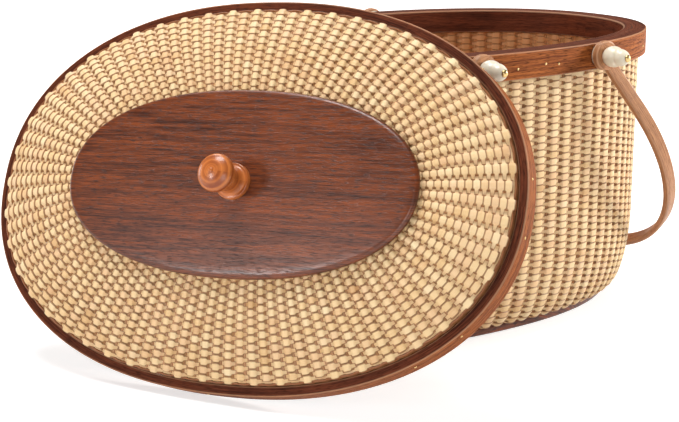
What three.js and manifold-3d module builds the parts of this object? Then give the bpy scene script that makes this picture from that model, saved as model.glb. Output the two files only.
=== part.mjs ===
// Oval lidded basket with two swing handles. Its lid is off and leans against the left end.
// Millimetres, +Z up, +X along the basket. The origin is the middle of the base's underside.
import * as THREE from "three";
import { mergeVertices } from "three/addons/utils/BufferGeometryUtils.js";
import Module from "manifold-3d";

const wasm = await Module();
wasm.setup();

// Clearances
const fitGap = 0.3; // between pieces that touch
const floorGap = 0.3; // under the lid and the handles, which only touch the floor lightly
const lipGap = 0.6; // around the lid's lip when the lid is on

// Oval plan, shared by the basket and its lid
const ovalPower = 2.2; // 2 is an ellipse, more is fuller at the shoulders
const boardSides = 36; // of the base and the plaque; the hoops have a side for each stave
const arcSteps = 1440; // short steps by which the stave places are stepped off along the oval
const rimHalfLength = 190;
const rimHalfWidth = 129.3;
const rimTop = 205;

// Rim hoops
const outerRimThickness = 5.5;
const outerRimHeight = 19;
const rimCapThickness = 4; // flange of the outer hoop that covers the stave ends
const innerRimThickness = 6.5;
const innerRimHeight = 18;
const rimEdge = 1; // eased corners of the hoops

// Woven wall
const weaveThickness = 4.5;
const staves = 60; // ribs round the wall and the lid
const ribDepth = 1.5; // of the hollows between the staves, on both faces of the weave
const wallTaper = 1; // how far the wall leans in from the rim to the turn
const turnHeight = 70; // where the wall starts to turn under
const weaveOverhang = 3.8; // how far the turned weave stands out past the base
const turnSteps = 5; // rings of the turn outside
const innerTurnSteps = 3; // and inside

// Base board, grooved all round for the stave ends
const baseHalfLength = 164.3;
const baseHalfWidth = 103.6;
const baseFootThickness = 7;
const baseTopThickness = 5;
const grooveDepth = 9;
const baseTopInset = 1.5; // the board over the groove is this much smaller than the foot
const baseEdge = 1.5;

// Swing handles: a round bow on two straight arms, with a paddle past each pivot
const pivotX = 58;
const pivotDrop = 8.5; // from the top of the rim to the pivots
const armLength = 38;
const armFlare = THREE.MathUtils.degToRad(10.7); // the arms spread from the basket's sides
const handleThickness = 5;
const gripWidth = 10.5;
const neckWidth = 9.5;
const paddleRadius = 10.5;
const neckRun = 60; // length over which the neck widens to the grip
const handleEdge = 1.2;
const bowSteps = 12; // sections from an arm to the crown
const paddleEndShares = [0.03, 0.12, 0.3, 0.6, 1]; // sections from the paddle's tip to the pivot
const paddleNeckShares = [0.3, 0.6, 0.8, 1]; // and from the pivot to the neck
const hangSteps = 24; // halvings of the angle while the handle is hung on the basket

// Handle hardware
const washerRadius = 8.5;
const washerThickness = 2.2;
const knobBallRadius = 7.4;
const knobBallLength = 11;
const knobBallFlat = 40; // degrees from the ball's waist to its flat ends
const knobCapRadius = 6.1;
const knobCapLength = 8;
const pinRadius = 1.6;
const pinHeadRadius = 2.6;
const pinHeadHeight = 1.8;
const pinBite = 3; // how far the pin goes into the inner hoop
const turnedSides = 12;

// Lid
const lidRimThickness = 6.5;
const lidRimHeight = 15;
const lidLipDepth = 5; // how far the lip drops into the basket
const lidLipThickness = 4.5;
const domeStart = 2; // the weave starts this far below the top of the lid's outer hoop
const domeRise = 17; // and ends this far above it, under the plaque
const domeSteps = 4; // rings of the dome outside
const innerDomeSteps = 2; // and inside
const plaqueHalfLength = 124.5;
const plaqueHalfWidth = 61;
const plaqueAlong = 3.7; // the plaque and its knob sit a little off the lid's middle
const plaqueAcross = 2.1;
const plaqueLap = 7; // how far the plaque covers the weave
const plaqueThickness = 6;
const plaqueCrown = 1.2;
const plaqueNoseTurns = [-45, 0, 45, 80]; // degrees round its bullnose edge
const plaqueTongue = 7; // depth of the plaque's lower step, which fills the hole in the weave
const plaqueStepIn = 2.6; // how far that step stays inside the hole's upper edge

// Lid knob, turned
const knobFootRadius = 11.8;
const knobFootHeight = 3.4;
const knobFootEdge = 1;
const knobNeckRadius = 7.2;
const knobBeadRadius = 9.2;
const knobHeadRadius = 12.3;
const knobHeadHalfHeight = 7;
const knobHeadUndercut = 55; // degrees the head curls in below its widest line
const knobHeight = 31;
const knobNibRadius = 1.8;
const knobNibHeight = 0.8;
const knobSides = 16;
const screwRadius = 2;
const screwHeadRadius = 4.5;
const screwHeadHeight = 2.5;
const screwBite = 12; // how far the screw goes into the knob

// Leaning pose of the lid
const lidHeading = THREE.MathUtils.degToRad(-64.4); // its long axis, from the basket's
const lidLean = THREE.MathUtils.degToRad(24.4); // back from upright
const lidSpin = THREE.MathUtils.degToRad(3.3); // in its own plane
const lidAside = -20.5; // its middle, along its own heading
const edgeSteps = 10; // points tried along each side of the rim while the lid is leaned on it
const leanSteps = 24; // halvings of the distance to the rim

// Finishes
const walnut = { color: 0x4b2a1d, roughness: 0.5, metalness: 0 };
const handleWood = { color: 0x8a5638, roughness: 0.5, metalness: 0 };
const cherry = { color: 0xa4572b, roughness: 0.35, metalness: 0 };
const cane = { color: 0xdcc08c, roughness: 0.6, metalness: 0 };
const bone = { color: 0xefe7d3, roughness: 0.4, metalness: 0 };
const brass = { color: 0xb58f4c, roughness: 0.3, metalness: 1 };

// Sizes that follow from those above
const outerRimInset = outerRimThickness;
const wallInset = outerRimInset + fitGap;
const innerRimInset = wallInset + weaveThickness + fitGap;
const innerRimFace = innerRimInset + innerRimThickness;
const wallTop = rimTop - rimCapThickness - fitGap;
const grooveFloor = baseFootThickness + fitGap;
const grooveRoof = grooveFloor + weaveThickness + fitGap;
const pivotZ = rimTop - pivotDrop;

function named(name, geometry, finish) {
  const mesh = new THREE.Mesh(geometry, new THREE.MeshStandardMaterial(finish));
  mesh.name = name;
  return mesh;
}

// Oval plan

function ovalPoint(halfLength, halfWidth, angle) {
  const c = Math.cos(angle);
  const s = Math.sin(angle);
  const power = 2 / ovalPower;
  return [
    halfLength * Math.sign(c) * Math.abs(c) ** power,
    halfWidth * Math.sign(s) * Math.abs(s) ** power,
  ];
}

// Angles that step evenly along the rim's oval.
function evenAngles(count) {
  const turn = (2 * Math.PI) / arcSteps;
  const spot = (i) => new THREE.Vector2(...ovalPoint(rimHalfLength, rimHalfWidth, i * turn));
  const runs = [0];
  for (let i = 1; i <= arcSteps; i++) runs.push(runs[i - 1] + spot(i).distanceTo(spot(i - 1)));
  return Array.from({ length: count }, (_, k) => {
    const run = (k / count) * runs[arcSteps];
    const past = runs.findIndex((r) => r > run);
    const share = (run - runs[past - 1]) / (runs[past] - runs[past - 1]);
    return (past - 1 + share) * turn;
  });
}

const hoopAngles = evenAngles(staves);
const ribAngles = evenAngles(2 * staves);
const boardAngles = evenAngles(boardSides);

// Half width of an oval at the distance x along it.
function ovalWidthAt(halfLength, halfWidth, x) {
  return halfWidth * (1 - Math.abs(x / halfLength) ** ovalPower) ** (1 / ovalPower);
}

// Solid through oval rings { a, b, z }, with their middles at dx, dy. A ring with a valley takes every second
// point from it. Open lofts are capped, and closed ones run back to the first ring. Rings go up the outside
// and down the inside.
function ovalLoft(rings, closed, angles) {
  const points = [];
  const faces = [];
  const sides = angles.length;
  for (const ring of rings) {
    angles.forEach((angle, j) => {
      const { a, b, z, dx = 0, dy = 0 } = ring.valley && j % 2 ? ring.valley : ring;
      const [x, y] = ovalPoint(a, b, angle);
      points.push(x + dx, y + dy, z);
    });
  }
  const at = (ring, side) => (ring % rings.length) * sides + (side % sides);
  const spans = closed ? rings.length : rings.length - 1;
  for (let i = 0; i < spans; i++) {
    for (let j = 0; j < sides; j++) {
      faces.push(at(i, j), at(i, j + 1), at(i + 1, j + 1));
      faces.push(at(i, j), at(i + 1, j + 1), at(i + 1, j));
    }
  }
  if (!closed) {
    const last = rings.length - 1;
    const bottom = rings.length * sides;
    points.push(0, 0, rings[0].z, 0, 0, rings[last].z);
    for (let j = 0; j < sides; j++) {
      faces.push(bottom, at(0, j + 1), at(0, j));
      faces.push(bottom + 1, at(last, j), at(last, j + 1));
    }
  }
  return indexed(points, faces);
}

function indexed(points, faces) {
  const geometry = new THREE.BufferGeometry();
  geometry.setAttribute("position", new THREE.Float32BufferAttribute(points, 3));
  geometry.setIndex(faces);
  return geometry;
}

// Hoop from a closed section of [inset, z] pairs around the rim's oval.
function hoop(section) {
  const rings = section.map(([inset, z]) => ({ a: rimHalfLength - inset, b: rimHalfWidth - inset, z }));
  return ovalLoft(rings, true, hoopAngles);
}

// Rings whose crests stand on the staves, with valleys between them.
function ribbed(crests, valleys) {
  return crests.map((ring, i) => ({ ...ring, valley: valleys[i] }));
}

// Cuts

function solidOf(geometry) {
  const bare = new THREE.BufferGeometry();
  bare.setAttribute("position", geometry.getAttribute("position"));
  bare.setIndex(geometry.index);
  const merged = mergeVertices(bare, 1e-4);
  return new wasm.Manifold(
    new wasm.Mesh({
      numProp: 3,
      vertProperties: merged.getAttribute("position").array,
      triVerts: new Uint32Array(merged.index.array),
    }),
  );
}

function cut(geometry, tools) {
  let solid = solidOf(geometry);
  for (const tool of tools) solid = solid.subtract(solidOf(tool));
  const mesh = solid.getMesh();
  return indexed(Array.from(mesh.vertProperties), Array.from(mesh.triVerts));
}

// Turned piece: a path of (radius, height) spun round its height axis.
function turned(path, divisions, sides) {
  return new THREE.LatheGeometry(path.getPoints(divisions), sides);
}

// Basket

function outerRim() {
  const low = rimTop - outerRimHeight;
  const cap = rimTop - rimCapThickness;
  const lap = innerRimInset - fitGap;
  return hoop([
    [outerRimInset, low],
    [rimEdge, low],
    [0, low + rimEdge],
    [0, rimTop - rimEdge],
    [rimEdge, rimTop],
    [lap, rimTop],
    [lap, cap],
    [outerRimInset, cap],
  ]);
}

function innerRim() {
  const low = rimTop - innerRimHeight;
  return hoop([
    [innerRimFace - rimEdge, low],
    [innerRimInset, low],
    [innerRimInset, rimTop],
    [innerRimFace - rimEdge, rimTop],
    [innerRimFace, rimTop - rimEdge],
    [innerRimFace, low + rimEdge],
  ]);
}

// One ring of the wall, the given depth in from its outer face. Turn 0 is upright, 90 degrees is level.
function turnRing(turn, depth) {
  const inset = wallInset + wallTaper;
  const a = rimHalfLength - inset;
  const b = rimHalfWidth - inset;
  const swing = 1 - Math.cos(turn);
  return {
    a: a - (a - baseHalfLength - weaveOverhang) * swing - depth * Math.cos(turn),
    b: b - (b - baseHalfWidth - weaveOverhang) * swing - depth * Math.cos(turn),
    z: turnHeight - (turnHeight - grooveFloor) * Math.sin(turn) + depth * Math.sin(turn),
  };
}

function wallFace(depth, steps) {
  const inset = wallInset + depth;
  const top = { a: rimHalfLength - inset, b: rimHalfWidth - inset, z: wallTop };
  const turns = Array.from({ length: steps + 1 }, (_, i) => turnRing((i / steps) * (Math.PI / 2), depth));
  const seat = grooveDepth - fitGap;
  const tail = { a: baseHalfLength - seat, b: baseHalfWidth - seat, z: grooveFloor + depth };
  return [top, ...turns, tail];
}

function wovenWall() {
  const outside = ribbed(wallFace(0, turnSteps), wallFace(ribDepth, turnSteps));
  const back = weaveThickness - ribDepth;
  const inside = ribbed(wallFace(weaveThickness, innerTurnSteps), wallFace(back, innerTurnSteps));
  return ovalLoft([...outside.reverse(), ...inside], true, ribAngles);
}

function baseBoard() {
  const ring = (inset, z) => ({ a: baseHalfLength - inset, b: baseHalfWidth - inset, z });
  const top = grooveRoof + baseTopThickness;
  return ovalLoft(
    [
      ring(baseEdge, 0),
      ring(0, baseEdge),
      ring(0, baseFootThickness),
      ring(grooveDepth, baseFootThickness),
      ring(grooveDepth, grooveRoof),
      ring(baseTopInset, grooveRoof),
      ring(baseTopInset, top - baseEdge),
      ring(baseTopInset + baseEdge, top),
    ],
    false,
    boardAngles,
  );
}

// Half length and half width of the basket's outside at a height.
function outsideAt(z) {
  const rimLow = rimTop - outerRimHeight;
  if (z >= rimLow) return { a: rimHalfLength, b: rimHalfWidth };
  const bend = THREE.MathUtils.clamp((turnHeight - z) / (turnHeight - grooveFloor), 0, 1);
  const { a, b } = turnRing(Math.asin(bend), 0);
  const above = wallTaper * Math.max(0, (z - turnHeight) / (wallTop - turnHeight));
  return { a: a + above, b: b + above };
}

// Handles and their hardware

// The rim's outer face under a washer, at its farthest from the middle plane.
const washerSeat = ovalWidthAt(rimHalfLength, rimHalfWidth, pivotX - washerRadius) + fitGap;
const handleFace = washerSeat + washerThickness + fitGap;
const archHalfWidth = handleFace + handleThickness / 2;
const knobSeat = handleFace + handleThickness + fitGap;
const pinEnd = ovalWidthAt(rimHalfLength - innerRimInset, rimHalfWidth - innerRimInset, pivotX) - pinBite;

function pinHole(radius, from, to) {
  const hole = new THREE.CylinderGeometry(radius, radius, to - from, turnedSides);
  hole.translate(0, (from + to) / 2, 0);
  return hole;
}

// Half width of the strip at a distance from its end: a round paddle, then a neck that widens to the grip.
function stripHalfWidth(fromEnd) {
  const round = Math.sqrt(Math.max(0, paddleRadius ** 2 - (fromEnd - paddleRadius) ** 2));
  const widening = THREE.MathUtils.smoothstep(fromEnd, 2 * paddleRadius, 2 * paddleRadius + neckRun);
  const strip = THREE.MathUtils.lerp(neckWidth, gripWidth, widening) / 2;
  return fromEnd > paddleRadius ? Math.max(round, strip) : round;
}

// Stations along one half of the strip, from the tip of its paddle to the crown, in the handle's plane.
function halfArch() {
  const flat = new THREE.Vector2(0, -1);
  const paddle = [...paddleEndShares.map((share) => share - 1), ...paddleNeckShares];
  const stations = paddle.map((share) => ({ s: share * paddleRadius, y: -archHalfWidth, outward: flat }));
  const armEnd = -archHalfWidth - armLength * Math.sin(armFlare);
  const bowRadius = -armEnd / Math.cos(armFlare);
  const bowMiddle = paddleRadius + armLength * Math.cos(armFlare) + bowRadius * Math.sin(armFlare);
  for (let i = 0; i <= bowSteps; i++) {
    const angle = (-Math.PI / 2 - armFlare) * (1 - i / bowSteps);
    const outward = new THREE.Vector2(Math.cos(angle), Math.sin(angle));
    stations.push({ s: bowMiddle + bowRadius * outward.x, y: bowRadius * outward.y, outward });
  }
  return stations;
}

// Bent strip between the pivots, in the XY plane, with a paddle past each pivot along -X.
function handle() {
  const half = halfArch();
  const other = half.slice(0, -1).reverse();
  const mirrored = other.map(({ s, y, outward }) => {
    return { s, y: -y, outward: new THREE.Vector2(outward.x, -outward.y) };
  });
  const stations = [...half, ...mirrored];
  let run = 0;
  const runs = stations.map(({ s, y }, i) => {
    if (i > 0) run += Math.hypot(s - stations[i - 1].s, y - stations[i - 1].y);
    return run;
  });
  const tip = half[0].s + paddleRadius;
  const rings = stations.map(({ s, y, outward }, i) => {
    const fromEnd = Math.min(runs[i], run - runs[i]) + tip;
    const w = stripHalfWidth(fromEnd);
    const t = handleThickness / 2;
    const e = Math.min(handleEdge, w / 2);
    const section = [
      [t, -w + e],
      [t, w - e],
      [t - e, w],
      [-t + e, w],
      [-t, w - e],
      [-t, -w + e],
      [-t + e, -w],
      [t - e, -w],
    ];
    return section.map(([out, up]) => [s + out * outward.x, y + out * outward.y, up]);
  });
  const faces = [];
  const corners = rings[0].length;
  const at = (i, j) => i * corners + (j % corners);
  for (let i = 0; i + 1 < stations.length; i++) {
    for (let j = 0; j < corners; j++) {
      faces.push(at(i, j), at(i + 1, j + 1), at(i, j + 1));
      faces.push(at(i, j), at(i + 1, j), at(i + 1, j + 1));
    }
  }
  const last = stations.length - 1;
  for (let j = 1; j + 1 < corners; j++) {
    faces.push(at(0, 0), at(0, j), at(0, j + 1));
    faces.push(at(last, 0), at(last, j + 1), at(last, j));
  }
  const reach = knobSeat + fitGap;
  return cut(indexed(rings.flat(2), faces), [pinHole(pinRadius + fitGap, -reach, reach)]);
}

// The handle hangs until it rests on the floor or against the basket's end.
function hangAngle() {
  const t = handleThickness / 2;
  const w = gripWidth / 2;
  const bow = halfArch().slice(-bowSteps);
  const clears = (drop) =>
    bow.every(({ s, y, outward }) =>
      [-w, 0, w].every((up) => {
        const along = s - t * outward.x;
        const x = pivotX + along * Math.cos(drop) + up * Math.sin(drop);
        const z = pivotZ - along * Math.sin(drop) + up * Math.cos(drop);
        const { a, b } = outsideAt(z);
        const across = Math.abs((y - t * outward.y) / (b + fitGap)) ** ovalPower;
        const low = z - 2 * t * Math.sin(drop) * outward.x;
        return low > floorGap && Math.abs(x / (a + fitGap)) ** ovalPower + across > 1;
      }),
    );
  let hung = 0;
  let touching = Math.PI / 2;
  for (let i = 0; i < hangSteps; i++) {
    const middle = (hung + touching) / 2;
    if (clears(middle)) hung = middle;
    else touching = middle;
  }
  return hung;
}

// Pieces on a pivot are turned about +Y, outward from the basket's middle plane.

function washer() {
  const bore = pinRadius + fitGap;
  const path = new THREE.Path();
  path.moveTo(bore, washerSeat);
  path.lineTo(washerRadius, washerSeat);
  path.lineTo(washerRadius, washerSeat + washerThickness);
  path.lineTo(bore, washerSeat + washerThickness);
  path.lineTo(bore, washerSeat);
  return turned(path, 1, turnedSides);
}

function boneKnob() {
  const bore = pinRadius + fitGap;
  const flat = THREE.MathUtils.degToRad(knobBallFlat);
  const ballHalf = knobBallLength / 2 / Math.sin(flat);
  const capLow = knobSeat + knobBallLength;
  const capEnd = Math.acos((pinHeadRadius + fitGap) / knobCapRadius);
  const path = new THREE.Path();
  path.moveTo(bore, knobSeat);
  path.lineTo(knobBallRadius * Math.cos(flat), knobSeat);
  path.absellipse(0, knobSeat + knobBallLength / 2, knobBallRadius, ballHalf, -flat, flat, false);
  path.absellipse(0, capLow + fitGap, knobCapRadius, knobCapLength, 0, capEnd, false);
  path.lineTo(bore, capLow + fitGap + knobCapLength * Math.sin(capEnd));
  path.lineTo(bore, knobSeat);
  return turned(path, 2, turnedSides);
}

function brassPin() {
  const capEnd = Math.acos((pinHeadRadius + fitGap) / knobCapRadius);
  const head = knobSeat + knobBallLength + knobCapLength * Math.sin(capEnd) + 2 * fitGap;
  const path = new THREE.Path();
  path.moveTo(0, pinEnd);
  path.lineTo(pinRadius, pinEnd);
  path.lineTo(pinRadius, head);
  path.lineTo(pinHeadRadius, head);
  path.absellipse(0, head, pinHeadRadius, pinHeadHeight, 0, Math.PI / 2, false);
  return turned(path, 2, turnedSides);
}

function pivotHoles() {
  const from = pinEnd - fitGap;
  const holes = [];
  for (const x of [-pivotX, pivotX]) {
    for (const side of [-1, 1]) {
      const hole = pinHole(pinRadius + fitGap, from, knobSeat);
      if (side < 0) hole.rotateX(Math.PI);
      hole.translate(x, 0, pivotZ);
      holes.push(hole);
    }
  }
  return holes;
}

// Lid, in its own frame: its outer hoop's top face is at z = 0 and its plaque faces +Z

const lidLow = -lidRimHeight;
const lidWeaveInset = lidRimThickness + fitGap;
const lidInnerInset = lidWeaveInset + weaveThickness + fitGap;
const lidInnerTop = -(domeStart + weaveThickness + fitGap);
const lipInset = innerRimFace + lipGap;
const lipFace = lipInset + lidLipThickness;
const domeTop = domeRise + fitGap;

function lidOuterRim() {
  return hoop([
    [lidRimThickness, lidLow],
    [rimEdge, lidLow],
    [0, lidLow + rimEdge],
    [0, -rimEdge],
    [rimEdge, 0],
    [lidRimThickness, 0],
  ]);
}

// The inner hoop holds the weave's edge, and its lip drops inside the basket's rim.
function lidInnerRim() {
  const lip = lidLow - lidLipDepth;
  return hoop([
    [lipFace - rimEdge, lip],
    [lipInset, lip],
    [lipInset, lidLow],
    [lidInnerInset, lidLow],
    [lidInnerInset, lidInnerTop],
    [lipFace, lidInnerTop],
    [lipFace, lip + rimEdge],
  ]);
}

// One ring of the domed weave, from the hoop at 0 to the hole under the plaque at 1.
function domeRing(share, depth) {
  const a = rimHalfLength - lidWeaveInset;
  const b = rimHalfWidth - lidWeaveInset;
  const rise = domeRise + domeStart;
  const slope = (2 * rise * (1 - share)) / (a - plaqueHalfLength);
  const level = depth / Math.hypot(1, slope);
  return {
    a: THREE.MathUtils.lerp(a, plaqueHalfLength - plaqueLap, share) - level * slope,
    b: THREE.MathUtils.lerp(b, plaqueHalfWidth - plaqueLap, share) - level * slope,
    z: -domeStart + rise * (1 - (1 - share) ** 2) - level,
    dx: plaqueAlong * share,
    dy: plaqueAcross * share,
  };
}

function lidHem(depth) {
  const inset = lidWeaveInset + depth;
  return { a: rimHalfLength - inset, b: rimHalfWidth - inset, z: lidLow + fitGap };
}

function domeFace(depth) {
  return [lidHem(depth), ...Array.from({ length: domeSteps + 1 }, (_, i) => domeRing(i / domeSteps, depth))];
}

// Inside, a level shoulder over the inner hoop comes before the dome.
function domeBack(depth) {
  const hem = lidHem(depth);
  const dome = Array.from({ length: innerDomeSteps }, (_, i) => domeRing((i + 1) / innerDomeSteps, depth));
  return [hem, { ...hem, z: -domeStart - depth }, ...dome];
}

function lidWeave() {
  const outside = ribbed(domeFace(0), domeFace(ribDepth));
  const inside = ribbed(domeBack(weaveThickness), domeBack(weaveThickness - ribDepth));
  return ovalLoft([...outside, ...inside.reverse()], true, ribAngles);
}

function knobScrew(grow) {
  const low = domeTop - plaqueTongue;
  const path = new THREE.Path();
  path.moveTo(0, low - grow);
  path.lineTo(screwHeadRadius + grow, low - grow);
  path.lineTo(screwHeadRadius + grow, low + screwHeadHeight + grow);
  path.lineTo(screwRadius + grow, low + screwHeadHeight + grow);
  path.lineTo(screwRadius + grow, plaqueTop + screwBite + grow);
  path.lineTo(0, plaqueTop + screwBite + grow);
  return turned(path, 1, turnedSides);
}

const plaqueTop = domeTop + plaqueThickness + plaqueCrown;

// The plaque laps over the weave, and its lower step fills the weave's hole.
function lidPlaque() {
  const ring = (inset, z) => ({ a: plaqueHalfLength - inset, b: plaqueHalfWidth - inset, z });
  const step = plaqueLap + plaqueStepIn;
  const nose = plaqueThickness / 2;
  const rings = [ring(step, domeTop - plaqueTongue), ring(step, domeTop), ring(nose, domeTop)];
  for (const turn of plaqueNoseTurns) {
    const angle = THREE.MathUtils.degToRad(turn);
    rings.push(ring(nose * (1 - Math.cos(angle)), domeTop + nose * (1 + Math.sin(angle))));
  }
  rings.push(ring(plaqueHalfWidth / 2, plaqueTop - plaqueCrown / 4));
  rings.push(ring(plaqueHalfWidth - knobFootRadius, plaqueTop));
  const board = ovalLoft(rings, false, boardAngles);
  const bore = knobScrew(fitGap);
  bore.rotateX(Math.PI / 2);
  return cut(board, [bore]);
}

// Foot, cove, bead and a rounded head with a small nib.
function lidKnob() {
  const seat = plaqueTop + fitGap;
  const headMid = seat + knobHeight - knobNibHeight - knobHeadHalfHeight;
  const headStart = THREE.MathUtils.degToRad(-knobHeadUndercut);
  const headLow = headMid + knobHeadHalfHeight * Math.sin(headStart);
  const beadHalf = (headLow - seat - knobFootHeight) / 6;
  const beadMid = headLow - beadHalf;
  const bore = screwRadius + fitGap;
  const path = new THREE.Path();
  path.moveTo(0, plaqueTop + screwBite + 2 * fitGap);
  path.lineTo(bore, plaqueTop + screwBite + 2 * fitGap);
  path.lineTo(bore, seat);
  path.lineTo(knobFootRadius, seat);
  path.lineTo(knobFootRadius, seat + knobFootHeight - knobFootEdge);
  path.lineTo(knobFootRadius - knobFootEdge, seat + knobFootHeight);
  path.quadraticCurveTo(knobNeckRadius, seat + knobFootHeight, knobNeckRadius, beadMid - beadHalf);
  path.lineTo(knobBeadRadius - beadHalf, beadMid - beadHalf);
  path.absellipse(knobBeadRadius - beadHalf, beadMid, beadHalf, beadHalf, -Math.PI / 2, Math.PI / 2, false);
  const headEnd = Math.acos(knobNibRadius / knobHeadRadius);
  path.absellipse(0, headMid, knobHeadRadius, knobHeadHalfHeight, headStart, headEnd, false);
  path.lineTo(knobNibRadius, headMid + knobHeadHalfHeight);
  path.lineTo(0, headMid + knobHeadHalfHeight + knobNibHeight);
  return turned(path, 3, knobSides);
}

// The lid's leaning place: a stand that turns and slides it, a lean, and a spin in its own plane
const lidStand = new THREE.Group();
const lidTilt = new THREE.Group();
const lid = new THREE.Group();
lidStand.add(lidTilt);
lidTilt.add(lid);
lidStand.rotation.z = lidHeading;
lidTilt.rotation.x = Math.PI / 2 - lidLean;
lid.rotation.z = lidSpin;

function placeLid(distance, height) {
  const along = new THREE.Vector2(Math.cos(lidHeading), Math.sin(lidHeading));
  const facing = new THREE.Vector2(along.y, -along.x);
  const x = lidAside * along.x + distance * facing.x;
  const y = lidAside * along.y + distance * facing.y;
  lidStand.position.set(x, y, height);
  lidStand.updateMatrixWorld(true);
}

// Points along the straight sides of a faceted oval hoop's edge.
function hoopEdge(inset, z) {
  const corner = (angle) => ovalPoint(rimHalfLength - inset, rimHalfWidth - inset, angle);
  const corners = hoopAngles.map((angle) => new THREE.Vector3(...corner(angle), z));
  const steps = Array.from({ length: edgeSteps }, (_, i) => i / edgeSteps);
  return corners.flatMap((from, i) => {
    const to = corners[(i + 1) % corners.length];
    return steps.map((share) => new THREE.Vector3().lerpVectors(from, to, share));
  });
}

// Height at which the lid's lower edge rests on the floor.
function lidHeight() {
  placeLid(0, 0);
  const low = [...hoopEdge(rimEdge, lidLow), ...hoopEdge(0, lidLow + rimEdge)];
  const edge = low.map((p) => lid.localToWorld(p).z);
  return floorGap - Math.min(...edge);
}

// How far round an oval a point lies: below 1 is inside.
function ovalShare(point, inset) {
  const along = Math.abs(point.x / (rimHalfLength - inset)) ** ovalPower;
  const across = Math.abs(point.y / (rimHalfWidth - inset)) ** ovalPower;
  return along + across;
}

// Does a point of the basket's rim clear the lid's hoops, lip and weave?
function clearsLid(point) {
  const hoopBack = lidLow - fitGap;
  if (point.z < hoopBack - lidLipDepth) return true;
  if (ovalShare(point, lipInset - fitGap) > 1) return point.z < hoopBack;
  if (ovalShare(point, lipFace + fitGap) > 1) return false;
  for (let i = 0; i <= domeSteps; i++) {
    const { a, b, z, dx, dy } = domeRing(i / domeSteps, weaveThickness);
    const share = Math.abs((point.x - dx) / a) ** ovalPower + Math.abs((point.y - dy) / b) ** ovalPower;
    if (share > 1) return point.z < z - fitGap;
  }
  return point.z < domeTop - plaqueTongue - fitGap;
}

// The lid is moved towards the basket until it rests on the rim.
function leanLid() {
  const height = lidHeight();
  let near = 0;
  let far = 2 * rimHalfLength;
  for (let i = 0; i < leanSteps; i++) {
    const middle = (near + far) / 2;
    placeLid(middle, height);
    const rim = [...hoopEdge(rimEdge, rimTop), ...hoopEdge(0, rimTop - rimEdge)];
    const clear = rim.every((p) => clearsLid(lid.worldToLocal(p)));
    if (clear) far = middle;
    else near = middle;
  }
  placeLid(far, height);
}

// Assembly

const basket = new THREE.Group();
const holes = pivotHoles();
basket.add(named("base_board", baseBoard(), walnut));
basket.add(named("woven_wall", cut(wovenWall(), holes), cane));
basket.add(named("outer_rim", cut(outerRim(), holes), walnut));
basket.add(named("inner_rim", cut(innerRim(), holes), walnut));

const handleDrop = hangAngle();
for (const [end, turn] of [["right", 0], ["left", Math.PI]]) {
  const pivot = new THREE.Group();
  pivot.rotation.z = turn;
  const bail = named(`${end}_handle`, handle(), handleWood);
  bail.position.set(pivotX, 0, pivotZ);
  bail.rotation.y = handleDrop;
  pivot.add(bail);
  basket.add(pivot);
  for (const [side, half] of [["near", Math.PI], ["far", 0]]) {
    const stack = new THREE.Group();
    stack.position.set(pivotX * Math.cos(turn), 0, pivotZ);
    stack.rotation.x = half;
    stack.add(named(`${end}_${side}_washer`, washer(), bone));
    stack.add(named(`${end}_${side}_knob`, boneKnob(), bone));
    stack.add(named(`${end}_${side}_pin`, brassPin(), brass));
    basket.add(stack);
  }
}

const turning = new THREE.Group();
turning.rotation.x = Math.PI / 2;
turning.add(named("lid_knob", lidKnob(), cherry));
turning.add(named("lid_knob_screw", knobScrew(0), brass));
const topping = new THREE.Group();
topping.position.set(plaqueAlong, plaqueAcross, 0);
topping.add(named("lid_plaque", lidPlaque(), walnut), turning);
lid.add(named("lid_outer_rim", lidOuterRim(), walnut));
lid.add(named("lid_inner_rim", lidInnerRim(), walnut));
lid.add(named("lid_weave", lidWeave(), cane));
lid.add(topping);
leanLid();
basket.add(lidStand);

export default basket;
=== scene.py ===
"""Oval basket with its lid off: woven cane, bent walnut hoops, swing handles on bone knobs."""

import math

import bmesh
import bpy
import numpy as np
from bpy.props import FloatProperty, FloatVectorProperty, IntProperty, PointerProperty
from mathutils import Matrix, Vector


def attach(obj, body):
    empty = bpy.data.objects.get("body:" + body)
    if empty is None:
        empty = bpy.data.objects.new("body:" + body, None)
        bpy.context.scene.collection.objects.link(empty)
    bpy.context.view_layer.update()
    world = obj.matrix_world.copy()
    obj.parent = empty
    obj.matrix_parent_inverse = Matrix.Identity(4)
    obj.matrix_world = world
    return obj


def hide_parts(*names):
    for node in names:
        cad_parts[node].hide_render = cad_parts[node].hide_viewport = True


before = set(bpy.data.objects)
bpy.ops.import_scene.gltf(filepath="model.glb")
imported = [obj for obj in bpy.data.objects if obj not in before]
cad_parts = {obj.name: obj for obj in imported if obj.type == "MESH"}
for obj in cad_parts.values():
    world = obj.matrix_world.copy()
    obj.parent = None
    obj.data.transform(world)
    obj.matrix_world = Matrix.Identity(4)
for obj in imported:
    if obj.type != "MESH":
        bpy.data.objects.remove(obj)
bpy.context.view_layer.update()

bl_info = {
    "name": "Oval Lidded Basket",
    "version": (1, 0, 0),
    "blender": (4, 5, 0),
    "location": "View3D > Sidebar > Basket",
    "description": "Weaves and dresses an oval basket, its lid and its swing handles",
    "category": "Add Mesh",
}

OVAL_POWER = 2.2
SEED = 17
GRAIN = "Grain"

# One pass of a weaver from the middle of a stave to the crossing: share of a column, swing, width
PASS_AT = (0.0, 0.13, 0.25, 0.31, 0.5)
PASS_SWING = (1.0, 0.95, 0.74, 0.48, 0.0)
PASS_GIRTH = (1.0, 1.0, 0.97, 0.56, 0.53)

# How the leaning lid is turned, in degrees
LID_HEADING, LID_LEAN, LID_SPIN = -64.4, 24.4, 3.3

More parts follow.
